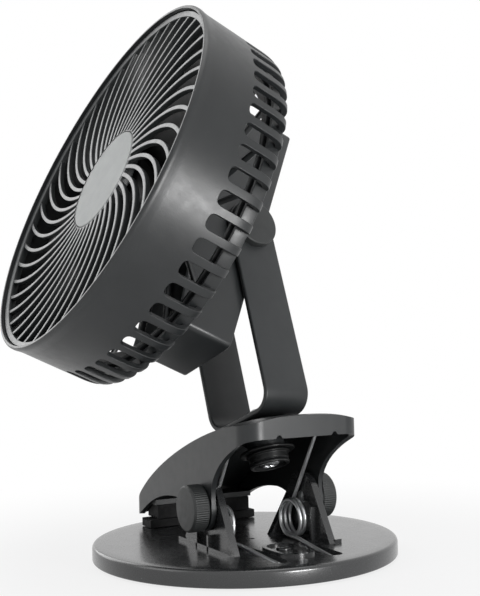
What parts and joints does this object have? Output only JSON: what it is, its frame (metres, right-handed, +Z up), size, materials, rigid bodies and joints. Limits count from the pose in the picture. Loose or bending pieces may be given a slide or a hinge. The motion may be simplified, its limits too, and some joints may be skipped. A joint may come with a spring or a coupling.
{
  "type": "clip fan",
  "caption": "Portable clip fan: a round caged head with a rear battery box, tilting in a U-shaped yoke that swivels on a sprung clip with a weighted round base.",
  "frame": {"origin": "middle of the round base's underside, on the surface that it stands on", "axes": "+Z up, +X towards the clip's handle, -X towards its jaw, Y along the clip's hinge"},
  "size_m": [0.1854, 0.1846, 0.2708],
  "materials": {
    "charcoal_plastic": "fine matte charcoal plastic",
    "dark_plastic": "matte dark grey plastic",
    "rib_plastic": "satin mid grey plastic",
    "hub_silver": "plain silver-grey disc",
    "painted_steel": "satin charcoal paint on strip steel",
    "black_rubber": "soft black rubber",
    "bright_steel": "bright zinc or spring steel",
    "cell_wrap": "plain blue battery wrap",
    "board": "green circuit board",
    "clear_lens": "frosted light lens"
  },
  "bodies": {
    "base": {"base_shell": "charcoal_plastic", "base_foot_pad": "black_rubber", "base_cover": "dark_plastic", "base_weight": "bright_steel", "base_screw_1": "bright_steel", "base_screw_2": "bright_steel", "base_screw_3": "bright_steel", "lower_jaw_pad": "black_rubber", "hinge_pin_left": "bright_steel", "hinge_pin_right": "bright_steel", "hinge_knob_left": "charcoal_plastic", "hinge_knob_right": "charcoal_plastic", "spring_left": "bright_steel", "spring_right": "bright_steel"},
    "clip": {"clip_lever": "charcoal_plastic", "upper_jaw_pad": "black_rubber", "swivel_washer": "black_rubber"},
    "bracket": {"yoke": "painted_steel", "swivel_lower_washer": "bright_steel", "swivel_collar": "dark_plastic", "swivel_screw": "bright_steel", "swivel_nut": "bright_steel"},
    "head": {"tilt_washer_left": "black_rubber", "tilt_washer_right": "black_rubber", "tilt_screw_left": "bright_steel", "tilt_screw_right": "bright_steel", "tilt_knob_left": "charcoal_plastic", "tilt_knob_right": "charcoal_plastic", "rear_box": "charcoal_plastic", "rear_cover": "charcoal_plastic", "battery_cell_lower": "cell_wrap", "battery_cell_upper": "cell_wrap", "circuit_board": "board", "board_screw_1": "bright_steel", "board_screw_2": "bright_steel", "tact_switch": "dark_plastic", "usb_socket": "bright_steel", "indicator_lens": "clear_lens", "box_screw_1": "bright_steel", "box_screw_2": "bright_steel", "box_screw_3": "bright_steel", "box_screw_4": "bright_steel", "head_shell": "charcoal_plastic", "front_grille": "rib_plastic", "hub_disc": "hub_silver", "rear_grille": "charcoal_plastic", "motor_housing": "bright_steel"},
    "rotor": {"motor_shaft": "bright_steel", "impeller": "dark_plastic"},
    "button": {"power_button": "dark_plastic"}
  },
  "joints": [
    {"name": "clip_hinge", "type": "hinge", "parent": "base", "child": "clip", "pos_m": [0.0146, 0, 0.0275], "axis": [0, 1, 0], "range_deg": [0, 20], "stiffness_Nm_per_rad": 1.6, "springref_deg": -40.11, "deforming": ["spring_left", "spring_right"]},
    {"name": "yoke_swivel", "type": "hinge", "parent": "clip", "child": "bracket", "pos_m": [0.01968, 0, 0.06549], "axis": [-0.3633, 0, 0.9317], "range_deg": [-180, 180]},
    {"name": "head_tilt", "type": "hinge", "parent": "bracket", "child": "head", "pos_m": [-0.01511, 0, 0.15473], "axis": [0.9148, 0.1896, 0.3567], "range_deg": [-65, 26]},
    {"name": "impeller_spin", "type": "hinge", "parent": "head", "child": "rotor", "pos_m": [-0.01511, 0, 0.15473], "axis": [0.0237, -0.9067, 0.4212], "continuous": true},
    {"name": "power_button_press", "type": "slide", "parent": "head", "child": "button", "axis": [-0.0245, -0.8553, 0.5175], "range_m": [0, 0.0006], "stiffness_N_per_m": 400, "springref_m": -0.0015}
  ]
}
